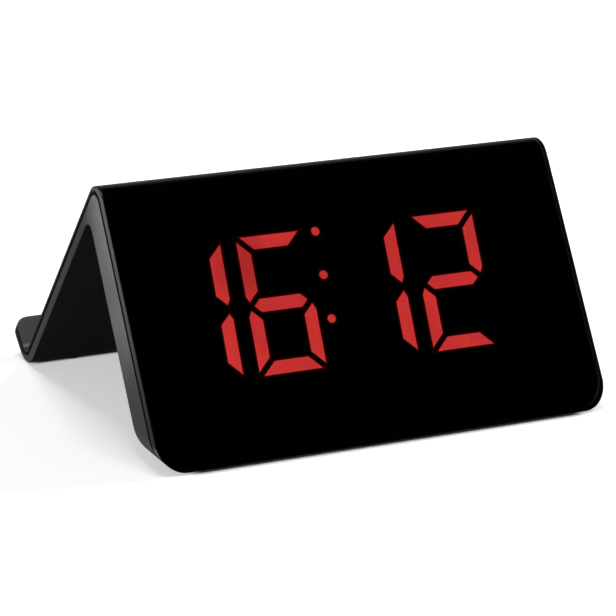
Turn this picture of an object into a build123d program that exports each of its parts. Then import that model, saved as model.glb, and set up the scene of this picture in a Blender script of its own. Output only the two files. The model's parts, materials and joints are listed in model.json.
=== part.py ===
# Tent-shaped LED desk clock with a phone ledge along its rear leg.
# The X axis runs across the width, the front face looks towards -Y, +Z is up,
# and the origin is on the table under the middle of the clock.
from build123d import *
import os
from math import cos, radians, sin, sqrt, tan

# Overall form, in millimetres and degrees
WIDTH = 160.0
HEIGHT = 80.7
FRONT_LEAN = 31.6
REAR_LEAN = 42.1
RIDGE_RADIUS = 7.9
INNER_RIDGE_RADIUS = 3.6
CORNER_RADIUS = 9.0
FOOT_STAND = 0.5
REAR_STAND = 0.2

# Phone ledge at the foot of the rear leg
BEND_RADIUS = 9.8
LEDGE_DEPTH = 15.0
LEDGE_FILLET = 4.2
LIP_THICKNESS = 4.0
LIP_CORNER_RADIUS = 4.7

# Walls of the two covers and the seam between them
LENS_WALL = 2.2
FRONT_EDGE = 3.5
REAR_SKIN = 1.3
INNER_WALL = 2.0
REAR_WALL = 1.9
END_WALL = 2.4
FLOOR_WALL = 2.0
SEAM_WIDTH = 0.6
SEAM_DEPTH = 1.4
RIDGE_SEAM_RADIUS = 5.0
EDGE_RADIUS = 0.4
EDGE_CHAMFER = 0.3

# Clearances and the overrun of every cut
RUNNING_GAP = 0.15
SIDE_GAP = 0.2
FIT_GAP = 0.05
OVERRUN = 6.0

# Display of four leaning digits with a colon and an indicator dot
DIGIT_HEIGHT = 46.0
DIGIT_WIDTH = 23.4
DIGIT_LEAN = 2.3
DIGIT_PITCH = 29.0
PAIR_PITCH = 61.9
SEGMENT_WIDTH = 4.4
SEGMENT_GAP = 2.0
SEGMENT_DEPTH = 1.5
JOINT_INSET = 1.0
JOINT_CHAMFER = 2.0
DOT_DIAMETER = 2.9
DOT_PITCH = 14.75
DISPLAY_RAISE = 6.0
DISPLAY_MARGIN = 5.65
LENS_GAP = 0.1
REFLECTOR_DEPTH = 4.9
REFLECTOR_MARGIN = 3.0
LED_SIZE = 2.0
LED_HEIGHT = 0.7
LIT_LETTERS = ("bc", "acdefg", "bc", "abdeg")
LIT_DOT_SHARES = (-0.5, 0.5, 1.5)

# Circuit board and its screws
BOARD_THICKNESS = 1.6
BOARD_CLEAR = 1.1
BOARD_BOSS_RADIUS = 2.2
BOARD_SCREW_INSET = 2.5
BOARD_SCREW_DRAW = 29.0
BOARD_SCREW_RADIUS = 0.9
BOARD_SCREW_LENGTH = 5.0
BOARD_HEAD_RADIUS = 1.8
BOARD_HEAD_HEIGHT = 1.2

# Screws that hold the covers together
COVER_BOSS_RADIUS = 3.0
COVER_BOSS_REACH = 6.8
COVER_SCREW_INSET = 5.7
COVER_SCREW_LIFT = 6.5
COVER_SCREW_DROP = 9.0
COVER_SCREW_RADIUS = 1.25
COVER_SCREW_LENGTH = 8.0
COVER_HEAD_RADIUS = 2.3
COVER_HEAD_HEIGHT = 1.9
COVER_HEAD_RECESS = 1.5
REAR_BOSS_RADIUS = 2.2
REAR_SCREW_SPREAD = 44.0
REAR_SCREW_INSET = 15.0
REAR_SCREW_RADIUS = 0.95
REAR_SCREW_LENGTH = 3.4
REAR_HEAD_RADIUS = 1.9
COUNTERSINK_ANGLE = 90.0
PILOT_SPARE = 0.3
SCREW_SLOT_WIDTH = 0.5
SCREW_SLOT_DEPTH = 0.5

# Buttons, each with its switch and plunger
BUTTON_NAMES = ("time", "alarm", "down", "up", "snooze")
BUTTON_PITCH = 18.0
BUTTON_DROP = 15.0
BUTTON_LENGTH = 11.0
BUTTON_BREADTH = 6.0
BUTTON_PROUD = 1.2
BUTTON_CHAMFER = 0.4
BUTTON_FLANGE = 0.7
FLANGE_MARGIN = 1.0
BUTTON_TRAVEL = 0.5
SWITCH_SIZE = 6.0
SWITCH_HEIGHT = 3.8
PLUNGER_RADIUS = 1.7
PLUNGER_HEIGHT = 0.7
PLUNGER_SEAT = 0.8

# Back-up cell and its twist-lock door
CELL_RADIUS = 10.0
CELL_THICKNESS = 3.2
CUP_WALL = 1.2
CONTACT_THICKNESS = 0.3
CONTACT_WIDTH = 4.0
BATTERY_INSET = 26.0
BATTERY_LIFT = 21.0
DOOR_RADIUS = 12.0
DOOR_PAD_RADIUS = 4.0
DOOR_HOLLOW_RADIUS = 9.5
DOOR_FACE = 1.4
TAB_WIDTH = 5.0
TAB_REACH = 2.0
TAB_THICKNESS = 0.9
DOOR_TURN = 60.0
COIN_SLOT_LENGTH = 15.0
COIN_SLOT_WIDTH = 2.0
COIN_SLOT_DEPTH = 0.8

# Sounder, power inlet and chips on the back of the board
BUZZER_RADIUS = 6.0
BUZZER_GAP = 0.75
BUZZER_BORE = 1.2
BUZZER_INSET = 18.0
BUZZER_LIFT = 39.0
SOUND_HOLE_RADIUS = 0.8
SOUND_RING_RADIUS = 3.2
SOUND_HOLES = 6
USB_WIDTH = 9.0
USB_HEIGHT = 3.2
USB_SHELL = 0.3
USB_RECESS = 0.6
USB_BASE = 1.5
USB_TONGUE_WIDTH = 6.7
USB_TONGUE = 0.7
USB_TONGUE_DROP = 0.8
USB_INSET = 17.0
USB_LIFT = 12.0
CHIP_LIFT = 19.0
CLOCK_CHIP_LENGTH = 18.0
CLOCK_CHIP_BREADTH = 7.6
CLOCK_CHIP_HEIGHT = 2.3
CHARGER_CHIP_X = 34.0
CHARGER_CHIP_SIZE = 5.0
CHARGER_CHIP_HEIGHT = 1.0
CRYSTAL_X = 19.0
CRYSTAL_RADIUS = 1.5
CRYSTAL_LENGTH = 8.0

# Charging coil in the rear leg and its lead to the board
COIL_RADIUS = 21.5
COIL_BORE_RADIUS = 10.0
COIL_THICKNESS = 1.4
COIL_DROP = 44.5
FERRITE_THICKNESS = 0.8
FERRITE_MARGIN = 0.5
LEAD_RADIUS = 0.6
LEAD_BEND = 3.5
CONNECTOR_WIDTH = 6.0
CONNECTOR_LENGTH = 4.0
CONNECTOR_HEIGHT = 4.0
CONNECTOR_DROP = 8.0

# Rubber feet
FOOT_SPREAD = 63.0
FRONT_FOOT_LENGTH = 20.0
FRONT_FOOT_BREADTH = 8.0
REAR_FOOT_RADIUS = 2.6
FOOT_RECESS = 0.9

# Angles and the depths of each layer below the front and rear faces
SIN_F, COS_F = sin(radians(FRONT_LEAN)), cos(radians(FRONT_LEAN))
SIN_R, COS_R = sin(radians(REAR_LEAN)), cos(radians(REAR_LEAN))
reflector_face = LENS_WALL + LENS_GAP
reflector_back = reflector_face + REFLECTOR_DEPTH
board_back = reflector_back + BOARD_THICKNESS
plunger_top = board_back + SWITCH_HEIGHT + PLUNGER_HEIGHT
wall_inside = plunger_top + BUTTON_FLANGE + RUNNING_GAP
front_leg = wall_inside + INNER_WALL
rear_inside = REAR_SKIN + COIL_THICKNESS + FERRITE_THICKNESS + RUNNING_GAP
rear_leg = rear_inside + REAR_WALL
boss_meet = LENS_WALL + COVER_BOSS_REACH

# End view: ridge centre, rear face, bend centre and ledge, with y measured from the front floor line
ridge_z = HEIGHT - RIDGE_RADIUS
ridge_y = (RIDGE_RADIUS + SIN_F * ridge_z) / COS_F
rear_level = COS_R * ridge_y + SIN_R * ridge_z + RIDGE_RADIUS
bend_z = REAR_STAND + BEND_RADIUS
bend_y = (rear_level - rear_leg + BEND_RADIUS - SIN_R * bend_z) / COS_R
ledge_level = SIN_R * bend_y - COS_R * bend_z + BEND_RADIUS - LIP_THICKNESS
tip_y = COS_R * (rear_level + LEDGE_DEPTH) + SIN_R * (ledge_level + LIP_THICKNESS)
back_y = tip_y - EDGE_CHAMFER * min(COS_R, SIN_R)
front_y = (EDGE_RADIUS + SIN_F * (FOOT_STAND + EDGE_RADIUS)) / COS_F - EDGE_RADIUS
middle_y = (front_y + back_y) / 2


def ridge_point(front_depth, rear_depth):
    """Where planes at these depths below the front and rear faces meet, in the end view."""
    level = rear_level - rear_depth
    span = sin(radians(FRONT_LEAN + REAR_LEAN))
    y = (level * SIN_F + front_depth * SIN_R) / span
    z = (level * COS_F - front_depth * COS_R) / span
    return (y - middle_y, z)


def ledge_point(reach, drop):
    """A point out from the rear face and down from the ledge, in the end view."""
    y = COS_R * (rear_level + reach) + SIN_R * (ledge_level + drop)
    z = SIN_R * (rear_level + reach) - COS_R * (ledge_level + drop)
    return (y - middle_y, z)


def leg_point(front_depth, z):
    """A point at this depth below the front face and this height, in the end view."""
    return ((front_depth + SIN_F * z) / COS_F - middle_y, z)


def front_point(front_depth, rise):
    """A point at this depth below the front face and this far up along it, in the end view."""
    return (SIN_F * rise + COS_F * front_depth - middle_y, COS_F * rise - SIN_F * front_depth)


def front_rise(point):
    """Height of an end-view point measured up along the front face."""
    return SIN_F * (point[0] + middle_y) + COS_F * point[1]


front_face = Plane(origin=(0, -middle_y, 0), x_dir=(1, 0, 0), z_dir=(0, -COS_F, SIN_F))
rear_face = Plane(origin=(0, *ledge_point(0, 0)), x_dir=(-1, 0, 0), z_dir=(0, COS_R, SIN_R))
rear_length = ledge_level - SIN_R * ridge_y + COS_R * ridge_z


def rounded_outline(corners):
    """Face in the end view from corner points, each with the radius that rounds it."""
    with BuildSketch(Plane.YZ) as outline:
        Polygon(*[point for point, radius in corners])
        for point, radius in corners:
            if radius > 0:
                fillet(outline.vertices().sort_by_distance(point)[:1], radius)
    return outline.sketch


def clock_outline(inset):
    """End outline of the whole casing, with the floor and the lip's tip drawn in by the inset."""
    floor = FOOT_STAND + inset
    return rounded_outline([
        (leg_point(0, floor), 0),
        (ridge_point(0, 0), RIDGE_RADIUS),
        (ledge_point(0, 0), LEDGE_FILLET),
        (ledge_point(LEDGE_DEPTH - inset, 0), 0),
        (ledge_point(LEDGE_DEPTH - inset, LIP_THICKNESS), 0),
        (ledge_point(-rear_leg, LIP_THICKNESS), BEND_RADIUS),
        (ridge_point(front_leg, rear_leg), INNER_RIDGE_RADIUS),
        (leg_point(front_leg, floor), 0),
    ])


def inside_seam(extra):
    """Region of the end view inside the seam, or a little further in by the extra depth."""
    front_depth = FRONT_EDGE + extra
    rear_depth = REAR_SKIN + extra
    start = leg_point(front_depth, -OVERRUN)
    end = ledge_point(LEDGE_DEPTH + OVERRUN, rear_depth)
    return rounded_outline([
        (start, 0),
        (ridge_point(front_depth, rear_depth), RIDGE_SEAM_RADIUS),
        (ledge_point(-rear_depth, rear_depth), LEDGE_FILLET + rear_depth),
        (end, 0),
        ((end[0], start[1]), 0),
    ])


def corner_cutters(inset):
    """Cutters that round the bottom corners of the front leg, drawn in by the inset."""
    half = WIDTH / 2 - inset
    floor = FOOT_STAND + inset
    radius = CORNER_RADIUS - inset
    with BuildPart() as cutters:
        with BuildSketch(Plane.XZ.offset(middle_y + OVERRUN)):
            with Locations((-half, floor), (half, floor)):
                Rectangle(2 * radius, 2 * radius)
            with Locations((0, floor + radius)):
                SlotOverall(2 * half, 2 * radius, mode=Mode.SUBTRACT)
        extrude(amount=-middle_y - OVERRUN)
    return cutters.part


def lip_corners(part):
    """The two corner edges at the ends of the lip's tip."""
    across_lip = Axis((0, 0, 0), (0, SIN_R, -COS_R))
    return part.edges().filter_by(across_lip).group_by(Axis.Y)[-1]


def end_edges(part, depth):
    """The end edges of the face that lies at this depth below the front face."""
    level = front_face.offset(-depth)
    flat = part.faces().filter_by(GeomType.PLANE).filter_by(lambda face: level.contains(face.center()))
    return flat.edges().filter_by(Axis(front_face.origin, front_face.y_dir))


# Places on the front leg, as x and rise along the front face
straight_rise = front_rise((ridge_y - middle_y, ridge_z))
display_rise = straight_rise / 2 + DISPLAY_RAISE
reflector_width = PAIR_PITCH + DIGIT_PITCH + DIGIT_WIDTH + 2 * REFLECTOR_MARGIN
reflector_height = DIGIT_HEIGHT + 2 * REFLECTOR_MARGIN
board_half = WIDTH / 2 - END_WALL - BOARD_CLEAR
board_height = reflector_height + 4 * BOARD_SCREW_INSET
board_bottom = display_rise - board_height / 2
board_top = display_rise + board_height / 2
display_x = reflector_width / 2 + DISPLAY_MARGIN - board_half
inner_foot_rise = front_rise(leg_point(front_leg, FOOT_STAND))
inner_ridge_rise = front_rise(ridge_point(front_leg, rear_leg))
cover_screw_x = WIDTH / 2 - COVER_SCREW_INSET
cover_screw_places = [
    (side * cover_screw_x, rise)
    for side in (-1, 1)
    for rise in (inner_foot_rise + COVER_SCREW_LIFT, inner_ridge_rise - COVER_SCREW_DROP)
]
board_screw_x = board_half - BOARD_SCREW_DRAW
board_screw_places = [
    (side * board_screw_x, rise)
    for side in (-1, 1)
    for rise in (board_bottom + BOARD_SCREW_INSET, board_top - BOARD_SCREW_INSET)
]
button_rise = board_top - BUTTON_DROP
button_places = [
    ((number - (len(BUTTON_NAMES) - 1) / 2) * -BUTTON_PITCH, button_rise)
    for number in range(len(BUTTON_NAMES))
]
battery_place = (BATTERY_INSET - board_half, board_bottom + BATTERY_LIFT)
buzzer_place = (board_half - BUZZER_INSET, board_bottom + BUZZER_LIFT)
usb_place = (board_half - USB_INSET, board_bottom + USB_LIFT)
chip_rise = board_bottom + CHIP_LIFT
connector_x = BUTTON_PITCH / 2
connector_rise = board_top - CONNECTOR_DROP - CONNECTOR_LENGTH / 2

# Places on the rear leg, as x and rise above the ledge
coil_place = (0, rear_length - COIL_DROP)
rear_screw_places = [
    (side * REAR_SCREW_SPREAD, rise)
    for side in (-1, 1)
    for rise in (REAR_SCREW_INSET, rear_length - REAR_SCREW_INSET)
]

# Places of the feet on the floor, as x and y
front_foot_y = leg_point((FRONT_EDGE + SEAM_WIDTH + front_leg) / 2, FOOT_STAND)[0]
front_foot_places = [(side * FOOT_SPREAD, front_foot_y) for side in (-1, 1)]
rear_foot_places = [(side * FOOT_SPREAD, bend_y - middle_y) for side in (-1, 1)]


def digit_segments():
    """Corner points of a digit's seven segments, about the digit's centre and leaning to the right."""
    half_w, half_h = DIGIT_WIDTH / 2, DIGIT_HEIGHT / 2
    bar, half_bar = SEGMENT_WIDTH, SEGMENT_WIDTH / 2
    mitre = SEGMENT_GAP / sqrt(2)
    joint_x = half_w - JOINT_INSET
    top = [
        (mitre - half_w, half_h),
        (half_w - mitre, half_h),
        (half_w - mitre - bar, half_h - bar),
        (mitre + bar - half_w, half_h - bar),
    ]
    upper_left = [
        (-half_w, half_h - mitre),
        (bar - half_w, half_h - mitre - bar),
        (bar - half_w, bar - JOINT_INSET + mitre),
        (-joint_x, mitre),
        (-half_w, mitre + JOINT_CHAMFER),
    ]
    middle = [
        (mitre - joint_x, 0),
        (mitre - joint_x + half_bar, half_bar),
        (joint_x - mitre - half_bar, half_bar),
        (joint_x - mitre, 0),
        (joint_x - mitre - half_bar, -half_bar),
        (mitre - joint_x + half_bar, -half_bar),
    ]
    flips = {
        "a": (top, 1, 1),
        "b": (upper_left, -1, 1),
        "c": (upper_left, -1, -1),
        "d": (top, 1, -1),
        "e": (upper_left, 1, -1),
        "f": (upper_left, 1, 1),
        "g": (middle, 1, 1),
    }
    slope = tan(radians(DIGIT_LEAN))
    return {
        letter: [(flip_x * x + slope * flip_y * y, flip_y * y) for x, y in points]
        for letter, (points, flip_x, flip_y) in flips.items()
    }


segments = digit_segments()
digit_places = [
    (display_x + (pair * PAIR_PITCH + digit * DIGIT_PITCH) / 2, display_rise)
    for pair in (-1, 1)
    for digit in (-1, 1)
]
dot_places = [
    (display_x + tan(radians(DIGIT_LEAN)) * step * DOT_PITCH, display_rise + step * DOT_PITCH)
    for step in LIT_DOT_SHARES
]


def segment_sketch(plane, shrink, lit=(True, False), dots=True):
    """Outlines of the lit or unlit segments, drawn in by the shrink all round."""
    with BuildSketch(plane) as sketch:
        for place, lit_here in zip(digit_places, LIT_LETTERS):
            for letter, points in segments.items():
                if (letter in lit_here) in lit:
                    with Locations(place):
                        Polygon(*points)
        if dots:
            with Locations(*dot_places):
                Circle(DOT_DIAMETER / 2)
        offset(amount=-shrink)
    return sketch.sketch


# Outer cover: smoked front, ridge, rear skin and the ledge's upper face in one moulding
with BuildPart() as outer_cover:
    extrude(clock_outline(0) - inside_seam(0), amount=WIDTH / 2, both=True)
    add(corner_cutters(0), mode=Mode.SUBTRACT)
    fillet(lip_corners(outer_cover), LIP_CORNER_RADIUS)
    fillet(end_edges(outer_cover, 0), EDGE_RADIUS)
    chamfer(end_edges(outer_cover, FRONT_EDGE), EDGE_CHAMFER)
    # Pocket behind the display
    pocket_rise = (FOOT_STAND + FLOOR_WALL + SIN_F * FRONT_EDGE) / COS_F
    with BuildSketch(front_face.offset(-LENS_WALL)):
        with Locations((0, (pocket_rise + inner_ridge_rise) / 2)):
            RectangleRounded(WIDTH - 2 * END_WALL, inner_ridge_rise - pocket_rise, CORNER_RADIUS - END_WALL)
    extrude(amount=-OVERRUN, mode=Mode.SUBTRACT)
    # Bosses for the cover screws, the board screws and the rear screws
    with BuildSketch(front_face.offset(-LENS_WALL)):
        with Locations(*cover_screw_places):
            Circle(COVER_BOSS_RADIUS)
    extrude(amount=-COVER_BOSS_REACH)
    with BuildSketch(front_face.offset(-LENS_WALL)):
        with Locations(*board_screw_places):
            Circle(BOARD_BOSS_RADIUS)
    extrude(amount=LENS_WALL - reflector_back)
    with BuildSketch(rear_face.offset(-REAR_SKIN)):
        with Locations(*rear_screw_places):
            Circle(REAR_BOSS_RADIUS)
    extrude(amount=REAR_SKIN - rear_inside)
    cover_seat = front_leg - COVER_HEAD_RECESS - COVER_HEAD_HEIGHT
    with BuildSketch(front_face.offset(-boss_meet)):
        with Locations(*cover_screw_places):
            Circle(COVER_SCREW_RADIUS + FIT_GAP)
    extrude(amount=boss_meet - cover_seat + COVER_SCREW_LENGTH + PILOT_SPARE, mode=Mode.SUBTRACT)
    with BuildSketch(front_face.offset(-reflector_back)):
        with Locations(*board_screw_places):
            Circle(BOARD_SCREW_RADIUS + FIT_GAP)
    extrude(amount=BOARD_SCREW_LENGTH - BOARD_THICKNESS + PILOT_SPARE, mode=Mode.SUBTRACT)
    with BuildSketch(rear_face.offset(-rear_inside)):
        with Locations(*rear_screw_places):
            Circle(REAR_SCREW_RADIUS + FIT_GAP)
    extrude(amount=REAR_SCREW_LENGTH - REAR_WALL + PILOT_SPARE, mode=Mode.SUBTRACT)

# Seam rim: the strip of the inner cover that lies back from its ends, so the seam shows as a dark groove
with BuildPart() as seam_rim:
    rim_sketch = (clock_outline(SEAM_DEPTH) & inside_seam(0)) - inside_seam(SEAM_WIDTH)
    extrude(rim_sketch, amount=WIDTH / 2 - SEAM_DEPTH, both=True)
    add(corner_cutters(SEAM_DEPTH), mode=Mode.SUBTRACT)
    fillet(lip_corners(seam_rim), LIP_CORNER_RADIUS - SEAM_DEPTH)

# Hollow of the inner cover: the front chamber, open over the ridge to the flat rear chamber
with BuildPart() as hollow:
    chamber_floor = FOOT_STAND + FLOOR_WALL
    with BuildSketch(Plane.YZ):
        with BuildLine():
            Polyline(
                leg_point(-OVERRUN, chamber_floor),
                ridge_point(-OVERRUN, -OVERRUN),
                ledge_point(OVERRUN, -LIP_THICKNESS - REAR_BOSS_RADIUS),
                ledge_point(-rear_inside, -LIP_THICKNESS - REAR_BOSS_RADIUS),
                ridge_point(wall_inside, rear_inside),
                leg_point(wall_inside, chamber_floor),
                close=True,
            )
        make_face()
    extrude(amount=WIDTH / 2 - END_WALL, both=True)
    add(corner_cutters(END_WALL), mode=Mode.SUBTRACT)

# Inner cover: end walls, inner faces, bend and the lip's outer face
door_hole = DOOR_RADIUS + SIDE_GAP
tab_end = DOOR_RADIUS + TAB_REACH
with BuildPart() as inner_cover:
    extrude(clock_outline(0) & inside_seam(SEAM_WIDTH), amount=WIDTH / 2, both=True)
    add(corner_cutters(0), mode=Mode.SUBTRACT)
    fillet(lip_corners(inner_cover), LIP_CORNER_RADIUS)
    chamfer(end_edges(inner_cover, FRONT_EDGE + SEAM_WIDTH) + end_edges(inner_cover, front_leg), EDGE_CHAMFER)
    add(seam_rim.part)
    add(hollow.part, mode=Mode.SUBTRACT)
    # Bosses and counterbores of the cover screws
    with BuildSketch(front_face.offset(-boss_meet)):
        with Locations(*cover_screw_places):
            Circle(COVER_HEAD_RADIUS + SIDE_GAP + INNER_WALL / 2)
    extrude(amount=boss_meet - wall_inside)
    with BuildSketch(front_face.offset(-cover_seat)):
        with Locations(*cover_screw_places):
            Circle(COVER_HEAD_RADIUS + SIDE_GAP)
    extrude(amount=-OVERRUN, mode=Mode.SUBTRACT)
    with BuildSketch(front_face.offset(-boss_meet)):
        with Locations(*cover_screw_places):
            Circle(COVER_SCREW_RADIUS + SIDE_GAP)
    extrude(amount=boss_meet - front_leg, mode=Mode.SUBTRACT)
    # Countersunk holes of the rear screws
    with Locations(rear_face.offset(-rear_leg) * Rot(180, 0, 0)):
        with Locations(*[(x, -rise) for x, rise in rear_screw_places]):
            CounterSinkHole(
                REAR_SCREW_RADIUS + SIDE_GAP,
                REAR_HEAD_RADIUS + SIDE_GAP,
                depth=REAR_WALL,
                counter_sink_angle=COUNTERSINK_ANGLE,
            )
    # Openings for the buttons, the door with its tab notches, the sounder and the inlet
    with BuildSketch(front_face.offset(-wall_inside + RUNNING_GAP)):
        with Locations(*button_places):
            SlotOverall(BUTTON_LENGTH + 2 * SIDE_GAP, BUTTON_BREADTH + 2 * SIDE_GAP)
        with Locations(battery_place):
            Circle(door_hole)
            Rectangle(2 * (tab_end + SIDE_GAP), TAB_WIDTH + 2 * SIDE_GAP, rotation=-DOOR_TURN)
        with Locations(buzzer_place):
            Circle(SOUND_HOLE_RADIUS)
            with PolarLocations(SOUND_RING_RADIUS, SOUND_HOLES):
                Circle(SOUND_HOLE_RADIUS)
        with Locations(usb_place):
            SlotOverall(USB_WIDTH + 2 * SIDE_GAP, USB_HEIGHT + 2 * SIDE_GAP)
    extrude(amount=-OVERRUN, mode=Mode.SUBTRACT)
    # Recesses for the feet
    with BuildSketch(Plane.XY.offset(FOOT_STAND + FOOT_RECESS)):
        with Locations(*front_foot_places):
            SlotOverall(FRONT_FOOT_LENGTH, FRONT_FOOT_BREADTH)
    extrude(amount=-OVERRUN, mode=Mode.SUBTRACT)
    with BuildSketch(Plane.XY.offset(REAR_STAND + FOOT_RECESS)):
        with Locations(*rear_foot_places):
            Circle(REAR_FOOT_RADIUS)
    extrude(amount=-OVERRUN, mode=Mode.SUBTRACT)

# Display block with one well for each segment, the light guides in the wells and the diodes under them
with BuildPart() as display_reflector:
    with BuildSketch(front_face.offset(-reflector_face)):
        with Locations((display_x, display_rise)):
            Rectangle(reflector_width, reflector_height)
    extrude(amount=-REFLECTOR_DEPTH)
    well_sketch = segment_sketch(front_face.offset(-reflector_face), 0)
    extrude(well_sketch, amount=-REFLECTOR_DEPTH, mode=Mode.SUBTRACT)

with BuildPart() as lit_segments:
    lit_sketch = segment_sketch(front_face.offset(-reflector_face), FIT_GAP, lit=(True,))
    extrude(lit_sketch, amount=-SEGMENT_DEPTH)

with BuildPart() as unlit_segments:
    dark_sketch = segment_sketch(front_face.offset(-reflector_face), FIT_GAP, lit=(False,), dots=False)
    extrude(dark_sketch, amount=-SEGMENT_DEPTH)

led_places = list(dot_places)
for digit_x, digit_rise in digit_places:
    for points in segments.values():
        middle_x = sum(x for x, y in points) / len(points)
        middle_up = sum(y for x, y in points) / len(points)
        led_places.append((digit_x + middle_x, digit_rise + middle_up))
with BuildPart() as segment_leds:
    with BuildSketch(front_face.offset(-reflector_back)):
        with Locations(*led_places):
            Rectangle(LED_SIZE, LED_SIZE)
    extrude(amount=LED_HEIGHT)

# Circuit board, cut back round the cover screws' bosses
boss_room = COVER_HEAD_RADIUS + INNER_WALL / 2 + 2 * SIDE_GAP
with BuildPart() as main_board:
    with BuildSketch(front_face.offset(-reflector_back)):
        with Locations((0, display_rise)):
            Rectangle(2 * board_half, board_height)
        with Locations(*cover_screw_places):
            Circle(boss_room, mode=Mode.SUBTRACT)
        with Locations(*board_screw_places):
            Circle(BOARD_SCREW_RADIUS + SIDE_GAP, mode=Mode.SUBTRACT)
    extrude(amount=-BOARD_THICKNESS)


def pan_screws(seat, places, radius, length, head_radius, head_height, recess):
    """Pan-head screws on a plane with their shanks towards the front, and a cross recess where they show."""
    with BuildPart() as screws:
        with BuildSketch(seat):
            with Locations(*places):
                Circle(radius)
        extrude(amount=length)
        with BuildSketch(seat):
            with Locations(*places):
                Circle(head_radius)
        extrude(amount=-head_height)
        if recess > 0:
            with BuildSketch(seat.offset(-head_height)):
                with Locations(*places):
                    Rectangle(head_radius, SCREW_SLOT_WIDTH)
                    Rectangle(SCREW_SLOT_WIDTH, head_radius)
            extrude(amount=recess, mode=Mode.SUBTRACT)
    return screws


cover_screws = pan_screws(
    front_face.offset(-cover_seat), cover_screw_places,
    COVER_SCREW_RADIUS, COVER_SCREW_LENGTH, COVER_HEAD_RADIUS, COVER_HEAD_HEIGHT, SCREW_SLOT_DEPTH,
)
board_screws = pan_screws(
    front_face.offset(-board_back), board_screw_places,
    BOARD_SCREW_RADIUS, BOARD_SCREW_LENGTH, BOARD_HEAD_RADIUS, BOARD_HEAD_HEIGHT, 0,
)

# Countersunk screws of the rear leg
with BuildPart() as rear_screws:
    with BuildSketch(rear_face.offset(-rear_leg)):
        with Locations(*rear_screw_places):
            Circle(REAR_HEAD_RADIUS)
    head_depth = (REAR_HEAD_RADIUS - REAR_SCREW_RADIUS) / tan(radians(COUNTERSINK_ANGLE / 2))
    extrude(amount=head_depth, taper=COUNTERSINK_ANGLE / 2)
    with BuildSketch(rear_face.offset(-rear_leg)):
        with Locations(*rear_screw_places):
            Circle(REAR_SCREW_RADIUS)
    extrude(amount=REAR_SCREW_LENGTH)
    with BuildSketch(rear_face.offset(-rear_leg)):
        with Locations(*rear_screw_places):
            Rectangle(REAR_HEAD_RADIUS, SCREW_SLOT_WIDTH)
            Rectangle(SCREW_SLOT_WIDTH, REAR_HEAD_RADIUS)
    extrude(amount=SCREW_SLOT_DEPTH, mode=Mode.SUBTRACT)

# Push switches on the back of the board, with a bore for each plunger
with BuildPart() as tact_switches:
    with BuildSketch(front_face.offset(-board_back)):
        with Locations(*button_places):
            Rectangle(SWITCH_SIZE, SWITCH_SIZE)
    extrude(amount=-SWITCH_HEIGHT)
    with BuildSketch(front_face.offset(-board_back - SWITCH_HEIGHT)):
        with Locations(*button_places):
            Circle(PLUNGER_RADIUS + SIDE_GAP)
    extrude(amount=PLUNGER_SEAT + BUTTON_TRAVEL + RUNNING_GAP, mode=Mode.SUBTRACT)


def button_cap(place):
    """Button cap whose flange lies under the wall, with a bevelled rim on its proud face."""
    with BuildPart() as cap:
        with BuildSketch(front_face.offset(-plunger_top)):
            with Locations(place):
                SlotOverall(BUTTON_LENGTH + 2 * FLANGE_MARGIN, BUTTON_BREADTH + 2 * FLANGE_MARGIN)
        extrude(amount=-BUTTON_FLANGE)
        with BuildSketch(front_face.offset(-plunger_top)):
            with Locations(place):
                SlotOverall(BUTTON_LENGTH, BUTTON_BREADTH)
        extrude(amount=plunger_top - front_leg - BUTTON_PROUD)
        proud_face = cap.faces().sort_by(Axis(front_face.origin, front_face.z_dir))[0]
        chamfer(proud_face.edges(), BUTTON_CHAMFER)
    return cap


def switch_plunger(place):
    """Plunger that the cap presses into the switch."""
    with BuildPart() as plunger:
        with BuildSketch(front_face.offset(-plunger_top)):
            with Locations(place):
                Circle(PLUNGER_RADIUS)
        extrude(amount=PLUNGER_HEIGHT + PLUNGER_SEAT)
    return plunger


# Back-up cell, with the cup that holds it and its two contacts
with BuildPart() as battery_cup:
    with BuildSketch(front_face.offset(-board_back)):
        with Locations(battery_place):
            Circle(CELL_RADIUS + SIDE_GAP + CUP_WALL)
            Circle(CELL_RADIUS + SIDE_GAP, mode=Mode.SUBTRACT)
        with Locations((battery_place[0], battery_place[1] + CELL_RADIUS)):
            Rectangle(CONTACT_WIDTH + 2 * SIDE_GAP, CELL_RADIUS, mode=Mode.SUBTRACT)
    extrude(amount=-CELL_THICKNESS)

with BuildPart() as battery_contacts:
    with BuildSketch(front_face.offset(-board_back)):
        with Locations(battery_place):
            SlotOverall(CELL_RADIUS + CONTACT_WIDTH, CONTACT_WIDTH)
    extrude(amount=-CONTACT_THICKNESS)
    side_rise = battery_place[1] + CELL_RADIUS + SIDE_GAP + CONTACT_THICKNESS / 2
    with BuildSketch(front_face.offset(-board_back)):
        with Locations((battery_place[0], side_rise)):
            Rectangle(CONTACT_WIDTH, CONTACT_THICKNESS)
    extrude(amount=-CELL_THICKNESS)

cell_top = board_back + CONTACT_THICKNESS + CELL_THICKNESS
with BuildPart() as coin_cell:
    with BuildSketch(front_face.offset(-cell_top)):
        with Locations(battery_place):
            Circle(CELL_RADIUS)
    extrude(amount=CELL_THICKNESS)
    chamfer(coin_cell.edges().filter_by(GeomType.CIRCLE), CONTACT_THICKNESS)

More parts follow.
